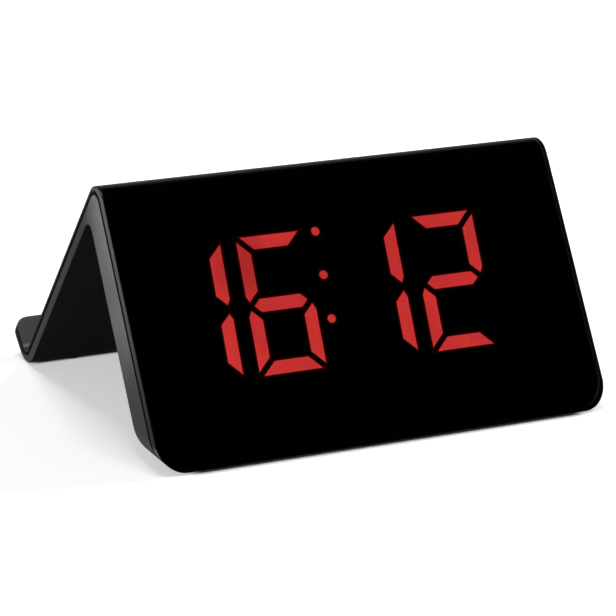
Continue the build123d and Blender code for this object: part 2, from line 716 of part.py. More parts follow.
# Twist-lock door: two tabs turn under the wall, and a pad holds the cell down
tab_low = wall_inside - RUNNING_GAP - TAB_THICKNESS
door_inside = front_leg - DOOR_FACE
with BuildPart() as battery_door:
    with BuildSketch(front_face.offset(-front_leg)):
        with Locations(battery_place):
            Circle(DOOR_RADIUS)
    extrude(amount=front_leg - tab_low)
    with BuildSketch(front_face.offset(-tab_low)):
        with Locations(battery_place):
            Rectangle(2 * tab_end, TAB_WIDTH)
    extrude(amount=-TAB_THICKNESS)
    with BuildSketch(front_face.offset(-tab_low)):
        with Locations(battery_place):
            Circle(DOOR_HOLLOW_RADIUS)
    extrude(amount=tab_low - door_inside, mode=Mode.SUBTRACT)
    with BuildSketch(front_face.offset(-cell_top - RUNNING_GAP)):
        with Locations(battery_place):
            Circle(DOOR_PAD_RADIUS)
    extrude(amount=cell_top + RUNNING_GAP - door_inside)
    with BuildSketch(front_face.offset(-front_leg)):
        with Locations(battery_place):
            SlotOverall(COIN_SLOT_LENGTH, COIN_SLOT_WIDTH)
    extrude(amount=COIN_SLOT_DEPTH, mode=Mode.SUBTRACT)

# Sounder behind its holes
with BuildPart() as buzzer:
    with BuildSketch(front_face.offset(-board_back)):
        with Locations(buzzer_place):
            Circle(BUZZER_RADIUS)
    extrude(amount=board_back + BUZZER_GAP - wall_inside)
    with BuildSketch(front_face.offset(BUZZER_GAP - wall_inside)):
        with Locations(buzzer_place):
            Circle(BUZZER_BORE)
    extrude(amount=BUZZER_BORE, mode=Mode.SUBTRACT)

# Power inlet: metal shell round a contact tongue on its base
usb_mouth = front_leg - USB_RECESS
with BuildPart() as usb_shell:
    with BuildSketch(front_face.offset(-board_back)):
        with Locations(usb_place):
            SlotOverall(USB_WIDTH, USB_HEIGHT)
            SlotOverall(USB_WIDTH - 2 * USB_SHELL, USB_HEIGHT - 2 * USB_SHELL, mode=Mode.SUBTRACT)
    extrude(amount=board_back - usb_mouth)

with BuildPart() as usb_tongue:
    usb_bore_width = USB_WIDTH - 2 * USB_SHELL - 2 * FIT_GAP
    usb_bore_height = USB_HEIGHT - 2 * USB_SHELL - 2 * FIT_GAP
    with BuildSketch(front_face.offset(-board_back)):
        with Locations(usb_place):
            SlotOverall(usb_bore_width, usb_bore_height)
    extrude(amount=-USB_BASE)
    with BuildSketch(front_face.offset(-board_back)):
        with Locations(usb_place):
            Rectangle(USB_TONGUE_WIDTH, USB_TONGUE)
    extrude(amount=board_back + USB_TONGUE_DROP - usb_mouth)


def board_block(x, rise, length, breadth, height):
    """Rectangular component that stands on the back of the board."""
    with BuildPart() as block:
        with BuildSketch(front_face.offset(-board_back)):
            with Locations((x, rise)):
                Rectangle(length, breadth)
        extrude(amount=-height)
    return block


clock_chip = board_block(0, chip_rise, CLOCK_CHIP_LENGTH, CLOCK_CHIP_BREADTH, CLOCK_CHIP_HEIGHT)
charger_chip = board_block(
    CHARGER_CHIP_X, chip_rise, CHARGER_CHIP_SIZE, CHARGER_CHIP_SIZE, CHARGER_CHIP_HEIGHT
)
coil_connector = board_block(
    connector_x, connector_rise, CONNECTOR_WIDTH, CONNECTOR_LENGTH, CONNECTOR_HEIGHT
)

with BuildPart() as timing_crystal:
    crystal_depth = board_back + CRYSTAL_RADIUS
    crystal_middle = front_face.from_local_coords((CRYSTAL_X, chip_rise, -crystal_depth))
    with BuildSketch(Plane(origin=crystal_middle, z_dir=(1, 0, 0))):
        Circle(CRYSTAL_RADIUS)
    extrude(amount=CRYSTAL_LENGTH / 2, both=True)

# Flat charging coil under the rear skin, its ferrite shield and its lead over the ridge
with BuildPart() as charging_coil:
    with BuildSketch(rear_face.offset(-REAR_SKIN)):
        with Locations(coil_place):
            Circle(COIL_RADIUS)
            Circle(COIL_BORE_RADIUS, mode=Mode.SUBTRACT)
    extrude(amount=-COIL_THICKNESS)

with BuildPart() as ferrite_disc:
    with BuildSketch(rear_face.offset(-REAR_SKIN - COIL_THICKNESS)):
        with Locations(coil_place):
            Circle(COIL_RADIUS + FERRITE_MARGIN)
    extrude(amount=-FERRITE_THICKNESS)

lead_rear_depth = (REAR_SKIN + rear_inside) / 2
lead_front_depth = board_back + CONNECTOR_HEIGHT / 2
lead_reach = sqrt((COIL_RADIUS + FERRITE_MARGIN + RUNNING_GAP + LEAD_RADIUS) ** 2 - connector_x**2)
lead_start = ledge_point(-lead_rear_depth, -coil_place[1] - lead_reach)
lead_corner = ridge_point(lead_front_depth, lead_rear_depth)
lead_end = front_point(lead_front_depth, connector_rise + CONNECTOR_LENGTH / 2)
with BuildPart() as coil_lead:
    with BuildLine(Plane.YZ.offset(connector_x)) as route:
        FilletPolyline(lead_start, lead_corner, lead_end, radius=LEAD_BEND)
    with BuildSketch(Plane(origin=route.line @ 0, z_dir=route.line % 0)):
        Circle(LEAD_RADIUS)
    sweep(path=route.line)

# Rubber feet in their recesses
with BuildPart() as front_feet:
    with BuildSketch(Plane.XY):
        with Locations(*front_foot_places):
            SlotOverall(FRONT_FOOT_LENGTH - 2 * FIT_GAP, FRONT_FOOT_BREADTH - 2 * FIT_GAP)
    extrude(amount=FOOT_STAND + FOOT_RECESS)

with BuildPart() as rear_feet:
    with BuildSketch(Plane.XY):
        with Locations(*rear_foot_places):
            Circle(REAR_FOOT_RADIUS - FIT_GAP)
    extrude(amount=REAR_STAND + FOOT_RECESS)

# Label each piece and write it to its own file
pieces = {
    "outer_cover": outer_cover,
    "inner_cover": inner_cover,
    "display_reflector": display_reflector,
    "lit_segments": lit_segments,
    "unlit_segments": unlit_segments,
    "segment_leds": segment_leds,
    "main_board": main_board,
    "board_screws": board_screws,
    "cover_screws": cover_screws,
    "rear_screws": rear_screws,
    "tact_switches": tact_switches,
    "battery_cup": battery_cup,
    "battery_contacts": battery_contacts,
    "coin_cell": coin_cell,
    "battery_door": battery_door,
    "buzzer": buzzer,
    "usb_shell": usb_shell,
    "usb_tongue": usb_tongue,
    "clock_chip": clock_chip,
    "charger_chip": charger_chip,
    "timing_crystal": timing_crystal,
    "charging_coil": charging_coil,
    "ferrite_disc": ferrite_disc,
    "coil_connector": coil_connector,
    "coil_lead": coil_lead,
    "front_feet": front_feet,
    "rear_feet": rear_feet,
}
for name, place in zip(BUTTON_NAMES, button_places):
    pieces[f"{name}_button"] = button_cap(place)
    pieces[f"{name}_plunger"] = switch_plunger(place)
os.makedirs("parts", exist_ok=True)
for label, piece in pieces.items():
    piece.part.label = label
    export_step(piece.part, f"parts/{label}.step")
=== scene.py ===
# Looks of the tent-shaped LED desk clock: finishes, button signs, floor, light and camera
import json
from math import cos, pi, radians, sin

import bmesh
import bpy
from mathutils import Matrix, Vector


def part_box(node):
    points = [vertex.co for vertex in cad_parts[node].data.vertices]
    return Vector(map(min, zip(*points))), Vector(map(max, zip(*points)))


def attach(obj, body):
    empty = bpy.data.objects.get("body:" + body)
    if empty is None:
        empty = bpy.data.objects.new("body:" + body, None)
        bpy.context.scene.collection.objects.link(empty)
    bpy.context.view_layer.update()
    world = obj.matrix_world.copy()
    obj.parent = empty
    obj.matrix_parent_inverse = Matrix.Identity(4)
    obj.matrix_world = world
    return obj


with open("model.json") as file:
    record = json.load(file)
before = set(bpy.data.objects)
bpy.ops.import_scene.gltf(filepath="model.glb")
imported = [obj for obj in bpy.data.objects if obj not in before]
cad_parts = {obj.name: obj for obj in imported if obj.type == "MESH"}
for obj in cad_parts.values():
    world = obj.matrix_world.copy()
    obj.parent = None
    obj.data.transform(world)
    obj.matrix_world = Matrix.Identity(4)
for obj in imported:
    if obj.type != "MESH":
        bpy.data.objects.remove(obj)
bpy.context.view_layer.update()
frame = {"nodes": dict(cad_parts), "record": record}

MM = 0.001
WELD = 0.001 * MM
nodes = frame["nodes"]

# Front leg: directions outward from its face and up along it, and where its face meets the table
FRONT_LEAN = radians(31.6)
FRONT_OUT = Vector((0, -cos(FRONT_LEAN), sin(FRONT_LEAN)))
FRONT_UP = Vector((0, sin(FRONT_LEAN), cos(FRONT_LEAN)))
FRONT_FOOT = Vector((0, -71.075 * MM, 0))
FRONT_LEVEL = FRONT_FOOT.dot(FRONT_OUT)

# Direction outward from the rear face, and how far out that face lies
REAR_LEAN = radians(42.1)
REAR_OUT = Vector((0, cos(REAR_LEAN), sin(REAR_LEAN)))
REAR_LEVEL = 44.084 * MM

# How far out the two end faces lie
END_LEVEL = 80.0 * MM


# Node tree helpers

def add_node(tree, kind, inputs=None, **settings):
    """Adds a node, sets its properties and fills or links its inputs."""
    made = tree.nodes.new(kind)
    for name, value in settings.items():
        setattr(made, name, value)
    for name, value in (inputs or {}).items():
        socket = made.inputs[name]
        if isinstance(value, bpy.types.NodeSocket):
            tree.links.new(value, socket)
        else:
            socket.default_value = value
    return made


def maths(tree, operation, *values):
    """A Math node on sockets or numbers."""
    made = add_node(tree, "ShaderNodeMath", dict(enumerate(values)), operation=operation)
    return made.outputs[0]


def measure(tree, operation, *vectors):
    """A Vector Math node that gives one value."""
    made = add_node(tree, "ShaderNodeVectorMath", dict(enumerate(vectors)), operation=operation)
    return made.outputs["Value"]


def split(tree, vector):
    """The X, Y and Z of a vector."""
    return add_node(tree, "ShaderNodeSeparateXYZ", {"Vector": vector}).outputs


def mix_value(tree, factor, first, second):
    """A Mix node between two values."""
    return add_node(tree, "ShaderNodeMix", {0: factor, 2: first, 3: second}).outputs[0]


def mix_colour(tree, factor, first, second):
    """A Mix node between two colours."""
    return add_node(tree, "ShaderNodeMix", {0: factor, 6: first, 7: second}, data_type="RGBA").outputs[2]


def map_range(tree, value, from_low, from_high, to_low=0.0, to_high=1.0):
    """A clamped, smooth Map Range node."""
    made = add_node(
        tree,
        "ShaderNodeMapRange",
        {"Value": value, "From Min": from_low, "From Max": from_high, "To Min": to_low, "To Max": to_high},
        interpolation_type="SMOOTHSTEP",
    )
    return made.outputs["Result"]


def object_place(tree):
    """Object coordinates, which are the clock's own frame in metres."""
    return tree.nodes.new("ShaderNodeTexCoord").outputs["Object"]


def noise(tree, place, scale, detail, roughness):
    """Noise value with its scale in waves per metre."""
    made = add_node(
        tree,
        "ShaderNodeTexNoise",
        {"Vector": place, "Scale": scale, "Detail": detail, "Roughness": roughness},
    )
    return made.outputs["Fac"]


def near_ends(tree, place, start, full):
    """Grows from 0 to 1 between two depths under the end faces."""
    sideways = maths(tree, "ABSOLUTE", split(tree, place)["X"])
    return map_range(tree, sideways, END_LEVEL - start, END_LEVEL - full)


def colour(red, green, blue):
    return (red, green, blue, 1.0)


# Shared effects: noise scales in waves per metre, and shares of each noise in the result

HAZE_SCALE = 45.0
HAZE_SHARE, PIT_SHARE = 0.6, 0.4
TARNISH_SCALE = 260.0
TARNISH_SHARE, LINE_SHARE = 0.5, 0.5
LINE_STRETCH = (0.04, 1.0, 1.0)


def make_group(name, first, second, scale):
    """An empty shader node group that makes a colour, a roughness and a height for a surface."""
    group = bpy.data.node_groups.new(name, "ShaderNodeTree")
    inputs = ((first, "Color"), (second, "Color"), (scale, "Float"), ("Smooth", "Float"), ("Rough", "Float"))
    outputs = (("Color", "Color"), ("Roughness", "Float"), ("Height", "Float"))
    for side, sockets in (("INPUT", inputs), ("OUTPUT", outputs)):
        for label, kind in sockets:
            group.interface.new_socket(label, in_out=side, socket_type=f"NodeSocket{kind}")
    return group, group.nodes.new("NodeGroupInput").outputs, group.nodes.new("NodeGroupOutput").inputs


def finish_group(group, given, out, tint, wear, height):
    """Links a group's outputs, with its roughness between Smooth and Rough."""
    span = maths(group, "SUBTRACT", given["Rough"], given["Smooth"])
    group.links.new(tint, out["Color"])
    group.links.new(maths(group, "MULTIPLY_ADD", wear, span, given["Smooth"]), out["Roughness"])
    group.links.new(height, out["Height"])
    return group


def add_shares(tree, first, first_share, second, second_share):
    """Sum of two values, each with its share."""
    second_part = maths(tree, "MULTIPLY", second, second_share)
    return maths(tree, "ADD", maths(tree, "MULTIPLY", first, first_share), second_part)


def build_moulded_grain():
    """Spark-eroded mould grain: fine pits, slow shade changes and a faint handling haze."""
    group, given, out = make_group("moulded_grain", "Dark", "Light", "Grain Scale")
    place = object_place(group)
    pits = noise(group, place, given["Grain Scale"], 3.0, 0.6)
    haze = noise(group, place, HAZE_SCALE, 3.0, 0.55)
    tone = map_range(group, add_shares(group, haze, HAZE_SHARE, pits, PIT_SHARE), 0.3, 0.7)
    tint = mix_colour(group, tone, given["Dark"], given["Light"])
    return finish_group(group, given, out, tint, tone, pits)


def build_turned_metal():
    """Plated metal: fine drawn lines and slight tarnish."""
    group, given, out = make_group("turned_metal", "Bright", "Dull", "Line Scale")
    place = object_place(group)
    stretched = add_node(group, "ShaderNodeMapping", {"Vector": place, "Scale": LINE_STRETCH}).outputs[0]
    lines = noise(group, stretched, given["Line Scale"], 2.0, 0.6)
    tarnish = map_range(group, noise(group, place, TARNISH_SCALE, 4.0, 0.6), 0.35, 0.7)
    tint = mix_colour(group, tarnish, given["Bright"], given["Dull"])
    wear = add_shares(group, lines, LINE_SHARE, tarnish, TARNISH_SHARE)
    return finish_group(group, given, out, tint, wear, lines)


moulded_grain = build_moulded_grain()
turned_metal = build_turned_metal()


# Finishes

# Grain of moulded pieces and drawn lines of plated ones: waves per metre, bump depth and bump strength
GRAIN_SCALE = 2600.0
GRAIN_DEPTH = 0.04 * MM
LINE_SCALE = 2400.0
LINE_DEPTH = 0.02 * MM
BUMP_STRENGTH = 0.3

# Smoked plastic: its index, its smears and grain, and roughness where polished, satin and on the ends
SMOKED_INDEX = 1.49
SMEAR_SCALE = 30.0
SATIN_SCALE = 1800.0
SATIN_DEPTH = 0.02 * MM
SATIN_STRENGTH = 0.25
POLISHED_ROUGH, POLISHED_SPAN = 0.03, 0.05
SATIN_ROUGH, SATIN_SPAN = 0.38, 0.12
END_ROUGH_MORE = 0.08

# How far below the front face the front seam lies, where the case ends get their painted shade
SEAM_START, SEAM_FULL = 4.7 * MM, 4.5 * MM

# Light guides: how strongly they glow, and the middle and reach of the bar that is weaker
LIT_STRENGTH = 29.0
WEAK_PLACE = FRONT_FOOT + Vector((-36.5 * MM, 0, 0)) + FRONT_UP * 66.0 * MM
WEAK_FULL, WEAK_END = 4.0 * MM, 15.0 * MM
WEAK_SHARE = 0.4

# Light that spills round the lit segments: how strong, and from where to where past their edges
SPILL_STRENGTH = 1.5
SPILL_START, SPILL_END = -0.3 * MM, 1.4 * MM
# A lit face with more corners than this is a round dot
DOT_CORNERS = 12
# A face counts as a front face when the cosine between its normal and the front's is at least this
FACING_FRONT = 0.99

# Circuit board tracks and coil wire
TRACK_SCALE = 320.0
TRACK_DEPTH, TRACK_STRENGTH = 0.04 * MM, 0.5
WIRE_PITCH = 0.8 * MM
WIRE_DEPTH, WIRE_STRENGTH = 0.2 * MM, 0.6

BLACK = (0.006, 0.006, 0.006)
WORN_BLACK = (0.012, 0.012, 0.012)
BLACK_SMOOTH, BLACK_ROUGH = 0.6, 0.75


def new_finish(name, **sockets):
    """A material with one Principled shader, whose even values are set on its own sockets."""
    material = bpy.data.materials.new(name)
    material.use_nodes = True
    shader = material.node_tree.nodes["Principled BSDF"]
    for label, value in sockets.items():
        shader.inputs[label.replace("_", " ")].default_value = value
    return material, material.node_tree, shader


def bump(tree, shader, height, distance, strength):
    """Feeds a height to the shader's normal."""
    made = add_node(
        tree,
        "ShaderNodeBump",
        {"Height": height, "Distance": distance, "Strength": strength},
    )
    tree.links.new(made.outputs["Normal"], shader.inputs["Normal"])


def add_effect(tree, group, first, second, scale, smooth, rough):
    """Adds one of the shared effects and returns its outputs."""
    values = (colour(*first), colour(*second), scale, smooth, rough)
    return add_node(tree, "ShaderNodeGroup", dict(enumerate(values)), node_tree=group).outputs


def show_effect(tree, shader, effect, depth):
    """Gives the shader an effect's colour, roughness and bump."""
    tree.links.new(effect["Color"], shader.inputs["Base Color"])
    tree.links.new(effect["Roughness"], shader.inputs["Roughness"])
    bump(tree, shader, effect["Height"], depth, BUMP_STRENGTH)


def moulded(name, dark, light, smooth=0.4, rough=0.5):
    """A grained plastic or rubber."""
    material, tree, shader = new_finish(name)
    effect = add_effect(tree, moulded_grain, dark, light, GRAIN_SCALE, smooth, rough)
    show_effect(tree, shader, effect, GRAIN_DEPTH)
    return material


def plated(name, bright, dull, smooth=0.22, rough=0.4):
    """A plated metal."""
    material, tree, shader = new_finish(name, Metallic=1.0)
    effect = add_effect(tree, turned_metal, bright, dull, LINE_SCALE, smooth, rough)
    show_effect(tree, shader, effect, LINE_DEPTH)
    return material


def smoked_finish():
    """Smoked plastic, so dark that only lit segments show through: polished, with satin back and ends."""
    material, tree, shader = new_finish("smoked_plastic", Transmission_Weight=1.0, IOR=SMOKED_INDEX)
    place = object_place(tree)
    backward = measure(tree, "DOT_PRODUCT", place, REAR_OUT)
    rest = map_range(tree, backward, REAR_LEVEL - 0.8 * MM, REAR_LEVEL - 0.2 * MM)
    ends = near_ends(tree, place, 0.35 * MM, 0.1 * MM)
    satin = maths(tree, "MAXIMUM", rest, ends)
    smears = map_range(tree, noise(tree, place, SMEAR_SCALE, 4.0, 0.6), 0.35, 0.7)
    fine = noise(tree, place, SATIN_SCALE, 3.0, 0.6)
    gloss = maths(tree, "MULTIPLY_ADD", maths(tree, "MULTIPLY", smears, fine), POLISHED_SPAN, POLISHED_ROUGH)
    satin_rough = maths(tree, "MULTIPLY_ADD", ends, END_ROUGH_MORE, SATIN_ROUGH)
    grain = maths(tree, "MULTIPLY_ADD", fine, SATIN_SPAN, satin_rough)
    tree.links.new(mix_value(tree, satin, gloss, grain), shader.inputs["Roughness"])
    tint = mix_colour(tree, smears, colour(0.019, 0.018, 0.018), colour(0.021, 0.02, 0.02))
    tree.links.new(tint, shader.inputs["Base Color"])
    bump(tree, shader, maths(tree, "MULTIPLY", fine, satin), SATIN_DEPTH, SATIN_STRENGTH)
    return material


def case_finish():
    """Dark satin moulding, with painted shade where its ends fall into the front seam: matt and black there.
    """
    material, tree, shader = new_finish("satin_case")
    dark, light = (0.011, 0.0102, 0.0104), (0.016, 0.0148, 0.0152)
    effect = add_effect(tree, moulded_grain, dark, light, GRAIN_SCALE, 0.36, 0.45)
    place = object_place(tree)
    forward = measure(tree, "DOT_PRODUCT", place, FRONT_OUT)
    ends = near_ends(tree, place, 0.5 * MM, 0.35 * MM)
    front_seam = map_range(tree, forward, FRONT_LEVEL - SEAM_START, FRONT_LEVEL - SEAM_FULL)
    # Painted shade: a thin band of the ends along the front seam is coloured near black and made fully rough
    painted_seam_shade = maths(tree, "MULTIPLY", front_seam, ends)
    tint = mix_colour(tree, painted_seam_shade, effect["Color"], colour(0.002, 0.002, 0.002))
    tree.links.new(tint, shader.inputs["Base Color"])
    tree.links.new(mix_value(tree, painted_seam_shade, effect["Roughness"], 1.0), shader.inputs["Roughness"])
    bump(tree, shader, effect["Height"], GRAIN_DEPTH, BUMP_STRENGTH)
    return material


def lit_finish():
    """Diffusing light guides with their diodes on: a little uneven along each bar, and weaker on one."""
    material, tree, shader = new_finish("lit_segment", Roughness=0.45, Emission_Strength=LIT_STRENGTH)
    place = object_place(tree)
    slow = map_range(tree, noise(tree, place, 90.0, 2.0, 0.5), 0.3, 0.7)
    fine = map_range(tree, noise(tree, place, 700.0, 3.0, 0.6), 0.35, 0.65)
    deep = mix_colour(tree, slow, colour(0.9, 0.05, 0.05), colour(1.0, 0.062, 0.055))
    glow = mix_colour(tree, maths(tree, "MULTIPLY", fine, 0.35), deep, colour(1.0, 0.075, 0.068))
    away = measure(tree, "DISTANCE", place, WEAK_PLACE)
    weak = map_range(tree, away, WEAK_FULL, WEAK_END, WEAK_SHARE, 0.0)
    glow = mix_colour(tree, weak, glow, colour(0.42, 0.022, 0.03))
    tree.links.new(glow, shader.inputs["Emission Color"])
    tree.links.new(glow, shader.inputs["Base Color"])
    return material


def lit_faces():
    """Front faces of the lit segments and dots, each as one face with its own corners."""
    faces = bmesh.new()
    faces.from_mesh(nodes["lit_segments"].data)
    bmesh.ops.remove_doubles(faces, verts=faces.verts, dist=WELD)
    hidden = [face for face in faces.faces if face.normal.dot(FRONT_OUT) < FACING_FRONT]
    bmesh.ops.delete(faces, geom=hidden, context="FACES")
    bmesh.ops.dissolve_limit(faces, angle_limit=radians(1), verts=faces.verts, edges=faces.edges)
    return faces


def spill_distance(tree, place):
    """Distance from a place on the display to the nearest edge of a lit segment or dot."""
    faces = lit_faces()
    spill = 1.0
    for face in faces.faces:
        corners = [corner.co.copy() for corner in face.verts]
        middle = face.calc_center_median()
        if len(corners) > DOT_CORNERS:
            radius = (corners[0] - middle).length
            away = maths(tree, "SUBTRACT", measure(tree, "DISTANCE", place, middle), radius)
        else:
            away = -1.0
            for first, second in zip(corners, corners[1:] + corners[:1]):
                outward = (second - first).cross(face.normal).normalized()
                past = measure(tree, "DOT_PRODUCT", place, outward)
                away = maths(tree, "MAXIMUM", away, maths(tree, "SUBTRACT", past, first.dot(outward)))
        spill = maths(tree, "MINIMUM", spill, away)
    faces.free()
    return spill


def block_finish():
    """Matt black display block, with the light that spills round its lit segments."""
    material, tree, shader = new_finish("display_block", Emission_Strength=SPILL_STRENGTH)
    effect = add_effect(tree, moulded_grain, BLACK, WORN_BLACK, GRAIN_SCALE, BLACK_SMOOTH, BLACK_ROUGH)
    spill = spill_distance(tree, object_place(tree))
    glow = map_range(tree, spill, SPILL_START, SPILL_END, 1.0, 0.0)
    red = mix_colour(tree, maths(tree, "MULTIPLY", glow, glow), colour(0, 0, 0), colour(1.0, 0.012, 0.01))
    tree.links.new(red, shader.inputs["Emission Color"])
    show_effect(tree, shader, effect, GRAIN_DEPTH)
    return material


def board_finish():
    """Green solder mask over raised tracks."""
    material, tree, shader = new_finish("circuit_board", Roughness=0.35, Coat_Weight=0.3)
    leaning = {"Vector": object_place(tree), "Rotation": (-FRONT_LEAN, 0.0, 0.0)}
    turned = add_node(tree, "ShaderNodeMapping", leaning).outputs[0]
    cells = {"Vector": turned, "Scale": TRACK_SCALE}
    tracks = add_node(tree, "ShaderNodeTexVoronoi", cells, distance="MANHATTAN").outputs["Distance"]
    raised = map_range(tree, tracks, 0.35, 0.45, 1.0, 0.0)
    ground = mix_colour(tree, raised, colour(0.012, 0.075, 0.03), colour(0.03, 0.16, 0.065))
    tree.links.new(ground, shader.inputs["Base Color"])
    bump(tree, shader, raised, TRACK_DEPTH, TRACK_STRENGTH)
    return material


def coil_finish():
    """Flat spiral of enamelled wire, shown as fine rings about the coil's middle."""
    low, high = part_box("charging_coil")
    middle = (low + high) / 2
    material, tree, shader = new_finish("copper_winding", Metallic=1.0)
    away = measure(tree, "DISTANCE", object_place(tree), middle)
    turns = maths(tree, "SINE", maths(tree, "MULTIPLY", away, 2 * pi / WIRE_PITCH))
    wire = map_range(tree, turns, -1.0, 1.0)
    tint = mix_colour(tree, wire, colour(0.18, 0.05, 0.02), colour(0.72, 0.3, 0.13))
    tree.links.new(tint, shader.inputs["Base Color"])
    tree.links.new(maths(tree, "MULTIPLY_ADD", wire, -0.25, 0.5), shader.inputs["Roughness"])
    bump(tree, shader, wire, WIRE_DEPTH, WIRE_STRENGTH)
    return material


finishes = {
    "smoked_cover": smoked_finish(),
    "dark_case": case_finish(),
    "black_block": moulded("matt_black", BLACK, WORN_BLACK, BLACK_SMOOTH, BLACK_ROUGH),
    "lit_guide": lit_finish(),
    "dark_guide": moulded("unlit_segment", (0.012, 0.006, 0.006), (0.018, 0.008, 0.008), 0.5, 0.6),
    "led_package": moulded("led_body", (0.62, 0.58, 0.42), (0.74, 0.7, 0.52), 0.3, 0.4),
    "board": board_finish(),
    "screw_steel": plated("black_zinc", (0.1, 0.1, 0.105), (0.06, 0.06, 0.062)),
    "switch_body": moulded("switch_black", (0.02, 0.02, 0.022), (0.03, 0.03, 0.032)),
    "contact_metal": plated("gold_flash", (0.83, 0.68, 0.36), (0.7, 0.55, 0.28)),
    "cell_steel": plated("bright_nickel", (0.72, 0.71, 0.69), (0.6, 0.59, 0.57)),
    "coil_wire": coil_finish(),
    "ferrite": moulded("sintered_ferrite", (0.03, 0.03, 0.033), (0.05, 0.05, 0.054), 0.6, 0.8),
    "connector_white": moulded("natural_nylon", (0.68, 0.66, 0.58), (0.76, 0.74, 0.67), 0.45, 0.55),
    "lead_skin": moulded("lead_jacket", (0.012, 0.012, 0.012), (0.02, 0.02, 0.02), 0.5, 0.6),
    "button_cap": moulded("satin_button", (0.024, 0.023, 0.024), (0.034, 0.032, 0.033), 0.42, 0.52),
    "foot_rubber": moulded("foot_rubber", (0.018, 0.018, 0.018), (0.03, 0.03, 0.03), 0.75, 0.9),
}
sign_paint = moulded("sign_paint", (0.5, 0.5, 0.5), (0.6, 0.6, 0.6), 0.5, 0.6)

for part in frame["record"]["subparts"]:
    nodes[part["node"]].data.materials.clear()
    nodes[part["node"]].data.materials.append(finishes[part["material_slot"]])
nodes["display_reflector"].data.materials[0] = block_finish()


# Signs printed on the button caps

SIGN_THICKNESS = 0.06 * MM
SIGN_LINE = 0.45 * MM
SIGN_WIDTH = 2.4 * MM
THIN_LINE = 0.35 * MM
ROUND_STEPS = 24
FULL_TURN = 2 * pi


def bar(sign, width, height, x=0.0, y=0.0):
    """Adds a flat rectangle to a sign."""
    place = Matrix.Translation((x, y, 0)) @ Matrix.Diagonal((width, height, 1, 1))
    bmesh.ops.create_grid(sign, x_segments=1, y_segments=1, size=0.5, matrix=place)


def disc(sign, radius, y):
    """Adds a flat disc to a sign."""
    place = Matrix.Translation((0, y, 0))
    bmesh.ops.create_circle(sign, cap_ends=True, segments=ROUND_STEPS, radius=radius, matrix=place)


def sweep_round(sign, start, middle, sweep, merge=False):
    """Sweeps a corner or an edge round a middle."""
    bmesh.ops.spin(
        sign, geom=[start], cent=middle, axis=(0, 0, 1), angle=sweep, steps=ROUND_STEPS, use_merge=merge
    )


def clock_sign(sign):
    """A ring with two hands."""
    inner, outer = 1.35 * MM, 1.75 * MM
    edge = sign.edges.new([sign.verts.new((radius, 0, 0)) for radius in (inner, outer)])
    sweep_round(sign, edge, (0, 0, 0), FULL_TURN, merge=True)
    bar(sign, THIN_LINE, 1.05 * MM, y=0.4 * MM)
    bar(sign, 0.75 * MM, THIN_LINE, x=0.55 * MM)


def bell_sign(sign):
    """A dome on a straight body, with a rim and a clapper."""
    radius, rise = 1.15 * MM, 0.3 * MM
    edge = sign.edges.new([sign.verts.new((x, rise, 0)) for x in (0.05 * MM, radius)])
    sweep_round(sign, edge, (0, rise, 0), pi)
    bar(sign, 2 * radius, 1.1 * MM, y=-0.25 * MM)
    bar(sign, 3.2 * MM, THIN_LINE, y=-0.98 * MM)
    disc(sign, 0.32 * MM, -1.5 * MM)


def minus_sign(sign):
    bar(sign, SIGN_WIDTH, SIGN_LINE)


def plus_sign(sign):
    minus_sign(sign)
    arm = (SIGN_WIDTH - SIGN_LINE) / 2
    for side in (-1, 1):
        bar(sign, SIGN_LINE, arm, y=side * (SIGN_LINE + arm) / 2)


def moon_sign(sign):
    """A crescent between two arcs that meet at its tips."""
    rims = []
    for radius, start, sweep, shift in (
        (1.6 * MM, radians(60), radians(240), 0.0),
        (1.35 * MM, radians(88), radians(184), 0.755 * MM),
    ):
        first = sign.verts.new((radius * cos(start) + shift, radius * sin(start), 0))
        sweep_round(sign, first, (shift, 0, 0), sweep)
        rims += [edge for edge in sign.edges if edge not in rims]
    bmesh.ops.bridge_loops(sign, edges=rims)


def add_piece(name, form, material):
    """Makes an object of a bmesh form, which is freed, and puts it in the scene."""
    mesh = bpy.data.meshes.new(name)
    form.to_mesh(mesh)
    form.free()
    mesh.materials.append(material)
    piece = bpy.data.objects.new(name, mesh)
    bpy.context.scene.collection.objects.link(piece)
    return piece


def print_sign(button, draw):
    """Draws a sign, thickens it and lays it on the outer face of a button cap."""
    low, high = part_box(f"{button}_button")
    corners = [corner.co for corner in nodes[f"{button}_button"].data.vertices]
    level = min(corner.dot(FRONT_OUT) for corner in corners)
    rises = [corner.dot(FRONT_UP) for corner in corners]
    rise = (min(rises) + max(rises)) / 2
    middle = Vector(((low.x + high.x) / 2, 0, 0)) + FRONT_OUT * level + FRONT_UP * rise
    sign = bmesh.new()
    draw(sign)
    bmesh.ops.remove_doubles(sign, verts=sign.verts, dist=WELD)
    bmesh.ops.recalc_face_normals(sign, faces=sign.faces)
    raised = bmesh.ops.extrude_face_region(sign, geom=sign.faces[:])
    tops = [item for item in raised["geom"] if isinstance(item, bmesh.types.BMVert)]
    bmesh.ops.translate(sign, verts=tops, vec=(0, 0, SIGN_THICKNESS))
    bmesh.ops.recalc_face_normals(sign, faces=sign.faces)
    axes = Matrix((Vector((-1, 0, 0)), FRONT_UP, -FRONT_OUT)).transposed().to_4x4()
    bmesh.ops.transform(sign, verts=sign.verts, matrix=Matrix.Translation(middle) @ axes)
    piece = add_piece(f"{button}_sign", sign, sign_paint)
    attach(piece, f"{button}_key")


for button, draw in (
    ("time", clock_sign),
    ("alarm", bell_sign),
    ("down", minus_sign),
    ("up", plus_sign),
    ("snooze", moon_sign),
):
    print_sign(button, draw)


# Floor, light and camera

FLOOR_HALF = 6.0
# Glow of the floor: where it starts to grow and is full, and its strength at both
GLOW_START, GLOW_FULL = 0.16, 0.6
GLOW_NEAR, GLOW_FAR = 0.55, 1.0
